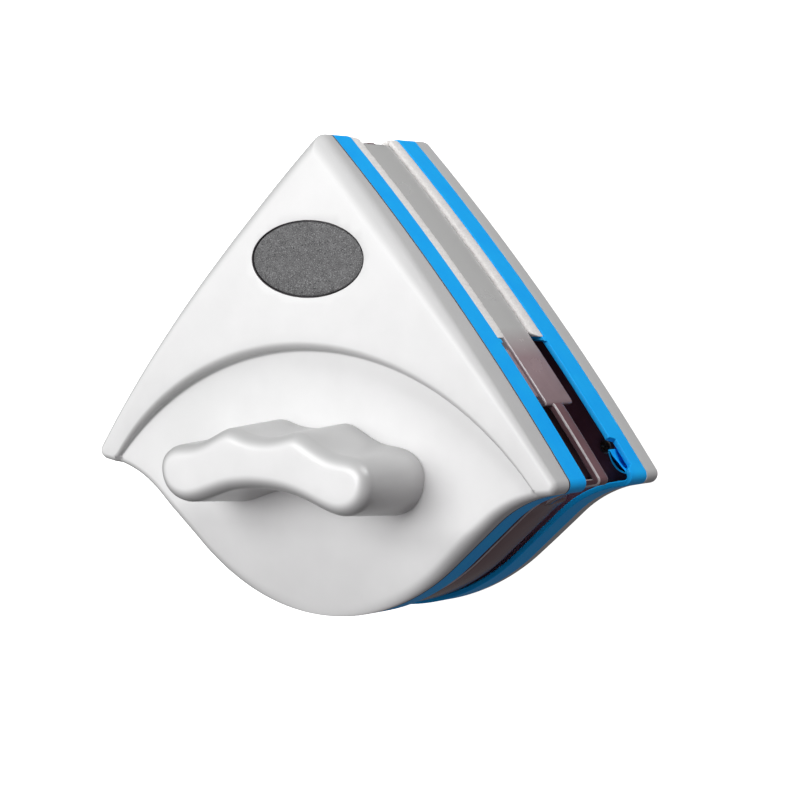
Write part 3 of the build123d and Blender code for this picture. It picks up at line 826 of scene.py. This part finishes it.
def pad_mesh(side, seed):
    """Fleece strip along one upper edge: crowned, with soft edges and a rough pile."""
    top, base, soft = -FRAME_DEPTH - PAD_DEPTH, -FRAME_DEPTH, 1.6
    turns = np.linspace(0, math.pi / 2, 5)
    section = [(0.25, base), (0.0, base - 0.8)]
    section += [(soft * (1 - math.cos(t)), top + soft * (1 - math.sin(t))) for t in turns]
    section += [(w, top) for w in np.linspace(soft, PAD_WIDTH - soft, 26)[1:-1]]
    section += [(PAD_WIDTH - w, h) for w, h in section[6::-1]]
    stations = 220
    lines = [upper_run(PAD_MARGIN + w, PAD_END_Y + 0.2, 0.3, stations) for w, _ in section]
    rings = []
    for k in range(stations):
        room = min(k, stations - 1 - k) / 4
        shrink = 0.6 * (1 - min(1, room)) ** 2
        rings.append([(x, y, h + (base - h) * shrink * 0.5) for (x, y), (_, h) in zip(
            [line[k] for line in lines], section)])
    vertices, faces = loft([np.array(r) for r in rings])
    size = len(section)
    faces.append(tuple(range(size)))
    faces.append(tuple(range(len(vertices) - size, len(vertices))))
    offset = Vector((seed * 31.7, seed * 7.3, 0))
    for i, point in enumerate(vertices):
        spot = Vector(point) + offset
        pile = noise.noise(spot * 1.9) * 0.22 + noise.noise(spot * 0.55) * 0.25
        if point[2] < base - 0.5:
            vertices[i][2] = max(point[2] - pile, top - 0.25)
            push = noise.noise(spot * 1.3 + Vector((0, 0, 50))) * 0.25
            vertices[i][0] += push
            vertices[i][1] += push * 0.6
    return vertices * (side, 1, 1), faces


for unit in ("front", "rear"):
    for name, side, seed in (("left", -1, 1), ("right", 1, 2)):
        pad = build(
            f"{unit}_fleece_{name}", [pad_mesh(side, seed + 2 * (unit == "rear"))], unit, fleece,
            f"{unit}_unit", sharp=80)
        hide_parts(f"{unit}_pad_{name}")


# ---------------------------------------------------------------- spacer
def spacer_blocks():
    """The thick upper block with its shoulders, one chevron over both upper edges."""
    outer = upper_run(SPACER_MARGIN, BLOCK_LOW_Y)
    inner = upper_run(SPACER_MARGIN + BLOCK_WIDTH, BLOCK_LOW_Y)
    return [chevron(outer, inner, -BLOCK_HALF, BLOCK_HALF, 0.9, 3.6)]


def shoulder(side):
    """Step that stands up into the front frame, below the end of a pad."""
    runs = [upper_run(d, 26.0)[::-1] for d in (3.0, 11.0)]
    outer, inner = [run[run[:, 1] < 46.0] for run in runs]
    plan = np.concatenate([outer[::-1], inner]) * (side, 1)
    plan = softened(plan if side > 0 else plan[::-1], 1.6)
    return rounded_prism(plan, left_of(plan), BLOCK_HALF - 1.0, BLOCK_HALF + 4.0, 0.5)


def low_block():
    """Thick block along the belly and the waists, its ends rounded."""
    outer = (OUTLINE - OUT * SPACER_MARGIN)[UNDERSIDE]
    inner = (OUTLINE - OUT * (SPACER_MARGIN + LOW_BLOCK_WIDTH))[UNDERSIDE]
    keep = (np.abs(outer[:, 0]) < LOW_BLOCK_HALF) & (np.abs(inner[:, 0]) < LOW_BLOCK_HALF)
    plan = softened(np.concatenate([outer[keep], inner[keep][::-1]]), 3.0)
    return rounded_prism(plan, left_of(plan), -BLOCK_HALF, BLOCK_HALF, 0.9)


def plate():
    """Thin plate between the blocks: a rounded rim all round, and a web."""
    edge = 0.7
    inner = SPACER_MARGIN + PLATE_RIM
    rows = []
    for amount, height in (
        (SPACER_MARGIN + edge, PLATE_LOW), (SPACER_MARGIN + edge * 0.3, PLATE_LOW + edge * 0.3),
        (SPACER_MARGIN, PLATE_LOW + edge), (SPACER_MARGIN, PLATE_HIGH - edge),
        (SPACER_MARGIN + edge * 0.3, PLATE_HIGH - edge * 0.3), (SPACER_MARGIN + edge, PLATE_HIGH),
        (inner - 0.4, PLATE_HIGH), (inner, PLATE_HIGH - 0.4), (inner, PLATE_WEB[1]),
        (inner, PLATE_WEB[0]), (inner, PLATE_LOW + 0.4), (inner - 0.4, PLATE_LOW),
    ):
        rows.append(ring(amount + under_blocks(), height))
    web = [ring(inner - 0.3, PLATE_WEB[1]), ring(inner - 0.3, PLATE_WEB[0])]
    vertices, faces = loft(web)
    size = len(OUTLINE)
    faces += [tuple(range(size)), tuple(range(size, 2 * size))]
    return [loft(rows, wrap=True), (vertices, faces)]


def clear_edges(piece):
    """Give the narrow sloping edges of a clear piece the pale tone that light makes in them."""
    piece.data.materials.append(clear_edge)
    for face in piece.data.polygons:
        if 0.25 < abs(face.normal.z) < 0.97:
            face.material_index = 1


def under_blocks():
    """How far the plate draws in where a block covers its rim."""
    on_side = np.interp(OUTLINE[:, 1], [BLOCK_LOW_Y + 1.5, BLOCK_LOW_Y + 3.5], [0.0, 0.6])
    below = np.interp(np.abs(OUTLINE[:, 0]), [LOW_BLOCK_HALF - 5.0, LOW_BLOCK_HALF - 3.0], [0.6, 0.0])
    return np.where(UNDERSIDE, below, on_side)


skins = spacer_blocks() + [shoulder(-1), shoulder(1)]
block = build("spacer_block", skins, "middle", smoky, "spacer", weld=1e-4)
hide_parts("spacer_block_left", "spacer_block_right")
clear_edges(block)
belly_block = build("spacer_belly_block", [low_block()], "middle", deep_clear, "spacer")
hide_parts("spacer_block_low")
clear_edges(belly_block)
spacer_plate = build("spacer_plate_rim", plate(), "middle", deep_clear, "spacer", weld=1e-4)
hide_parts("spacer_plate")
clear_edges(spacer_plate)


# ---------------------------------------------------------------- grip
def closed_spline(points, count):
    """Smooth closed curve through points, its parameter growing with the chord."""
    points = np.array(points, float)
    size = len(points)
    gaps = np.linalg.norm(np.roll(points, -1, 0) - points, axis=1)
    knots = np.concatenate([[0], np.cumsum(gaps)])
    system, right = np.zeros((size, size)), np.zeros((size, 2))
    for i in range(size):
        before, after = gaps[i - 1], gaps[i]
        system[i, i - 1] += after
        system[i, i] += 2 * (before + after)
        system[i, (i + 1) % size] += before
        step_back = (points[i] - points[i - 1]) / before
        step_on = (points[(i + 1) % size] - points[i]) / after
        right[i] = 3 * (after * step_back + before * step_on)
    slopes = np.linalg.solve(system, right)
    found = []
    for spot in np.linspace(0, knots[-1], count, endpoint=False):
        i = min(int(np.searchsorted(knots, spot, side="right")) - 1, size - 1)
        j, gap = (i + 1) % size, gaps[i]
        t = (spot - knots[i]) / gap
        found.append(
            (2 * t**3 - 3 * t**2 + 1) * points[i] + (t**3 - 2 * t**2 + t) * gap * slopes[i]
            + (3 * t**2 - 2 * t**3) * points[j] + (t**3 - t**2) * gap * slopes[j]
        )
    return np.array(found)


def grip_skins():
    """Wave-backed grip: straight sides, a broad rounding over the top edge, a small one below."""
    plan = closed_spline(GRIP_RIGHT + [(-x, y) for x, y in GRIP_RIGHT[-2:0:-1]], 300)
    out = left_of(plan)
    rows = [(0.5, GRIP_LOW), (0.15, GRIP_LOW + 0.15), (0.0, GRIP_LOW + 0.5)]
    rows += [
        (GRIP_TAPER + GRIP_EDGE * (1 - math.cos(t)), GRIP_TOP - GRIP_EDGE * (1 - math.sin(t)))
        for t in np.linspace(0, math.pi / 2, 12)
    ]
    rings = [np.column_stack([plan - out * d, np.full(len(plan), h)]) for d, h in rows]
    vertices, faces = loft(rings)
    faces.append(tuple(range(len(plan))))
    border = rings[-1][:, :2]
    spare = grid_points(3.0)
    spare = spare[inside(spare, border)]
    spare = spare[clearance(spare, border) > 1.4]
    top = cap(border, [], spare, lambda x, y: np.full(len(x), GRIP_TOP))
    return [(vertices, faces), top]


grip = build("grip_shell", grip_skins(), "front", white_grip, "grip")
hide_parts("grip")


# ---------------------------------------------------------------- finishes of the kept CAD nodes
FINISHES = {
    "blade_rubber": rubber,
    "dark_plastic": dark_plastic,
    "magnet": magnet,
    "yoke_steel": yoke_steel,
    "steel": steel,
}
slots = {part["node"]: part["material_slot"] for part in frame["record"]["subparts"]}
for name, node in frame["nodes"].items():
    if node.hide_render:
        continue
    finish = dark_base if name.endswith("_base") else FINISHES[slots[name]]
    for place in node.material_slots:
        place.material = finish
    bevel = node.modifiers.new("fine_edges", "BEVEL")
    bevel.width = 0.25 * MM
    bevel.segments = 2
    bevel.limit_method = "ANGLE"
    bevel.angle_limit = math.radians(50)
    bevel.use_clamp_overlap = True


# ---------------------------------------------------------------- floor, light and camera
def pale_floor():
    """Plain white floor that stays evenly white."""
    made = bpy.data.materials.new("floor_white")
    made.use_nodes = True
    shader = made.node_tree.nodes["Principled BSDF"]
    shader.inputs["Base Color"].default_value = (0.9, 0.9, 0.9, 1)
    shader.inputs["Roughness"].default_value = 0.9
    shader.inputs["Specular IOR Level"].default_value = 0.0
    shader.inputs["Emission Color"].default_value = (1, 1, 1, 1)
    shader.inputs["Emission Strength"].default_value = 1.0
    mesh = bpy.data.meshes.new("floor")
    reach = 20.0
    corners = [(-reach, -reach, 0), (reach, -reach, 0), (reach, reach, 0), (-reach, reach, 0)]
    mesh.from_pydata(corners, [], [(0, 1, 2, 3)])
    mesh.materials.append(made)
    floor = bpy.data.objects.new("floor", mesh)
    floor.visible_diffuse = False
    floor.visible_glossy = False
    floor.visible_transmission = False
    bpy.context.scene.collection.objects.link(floor)


def area_light(name, direction, distance, size, power, tone=(1, 1, 1)):
    """Soft square light that faces the middle of the object."""
    lamp = bpy.data.lights.new(name, "AREA")
    lamp.shape = "DISK"
    lamp.size = size
    lamp.energy = power
    lamp.color = tone
    light = bpy.data.objects.new(name, lamp)
    way = Vector(direction).normalized()
    light.location = Vector((0, 0, 0.045)) + way * distance
    light.rotation_mode = "QUATERNION"
    light.rotation_quaternion = (-way).to_track_quat("-Z", "Y")
    bpy.context.scene.collection.objects.link(light)


pale_floor()
area_light("key_light", (-0.26, 0.20, 0.94), 1.6, 1.2, 21.0)
area_light("side_fill", (0.50, 0.84, 0.22), 1.8, 1.4, 30.0)
area_light("low_fill", (0.75, -0.45, 0.45), 1.8, 1.4, 2.5, (1.0, 0.86, 0.97))

world = bpy.data.worlds.new("soft_studio")
bpy.context.scene.world = world
world.use_nodes = True
world.node_tree.nodes["Background"].inputs["Color"].default_value = (1, 1, 1, 1)
world.node_tree.nodes["Background"].inputs["Strength"].default_value = 0.12

bpy.context.scene.view_settings.view_transform = "Standard"

CAMERA_PLACE = Vector((0.61494, 0.04921, 0.83017))
turn, tilt, roll = (math.radians(v) for v in (37.116, 3.438, 0.672))
CAMERA_LENS = 105.495

right = Vector((math.cos(turn), 0, -math.sin(turn)))
ahead = Vector((-math.sin(turn) * math.cos(tilt), -math.sin(tilt), -math.cos(turn) * math.cos(tilt)))
above = right.cross(ahead)
level = math.cos(roll) * right + math.sin(roll) * above
above = math.cos(roll) * above - math.sin(roll) * right
lens = bpy.data.cameras.new("camera")
lens.lens = CAMERA_LENS
lens.sensor_width = 36.0
lens.clip_start = 0.01
camera = bpy.data.objects.new("camera", lens)
stance = Matrix((level, above, -ahead)).transposed().to_4x4()
camera.matrix_world = Matrix.Translation(CAMERA_PLACE) @ stance
bpy.context.scene.collection.objects.link(camera)
bpy.context.scene.camera = camera
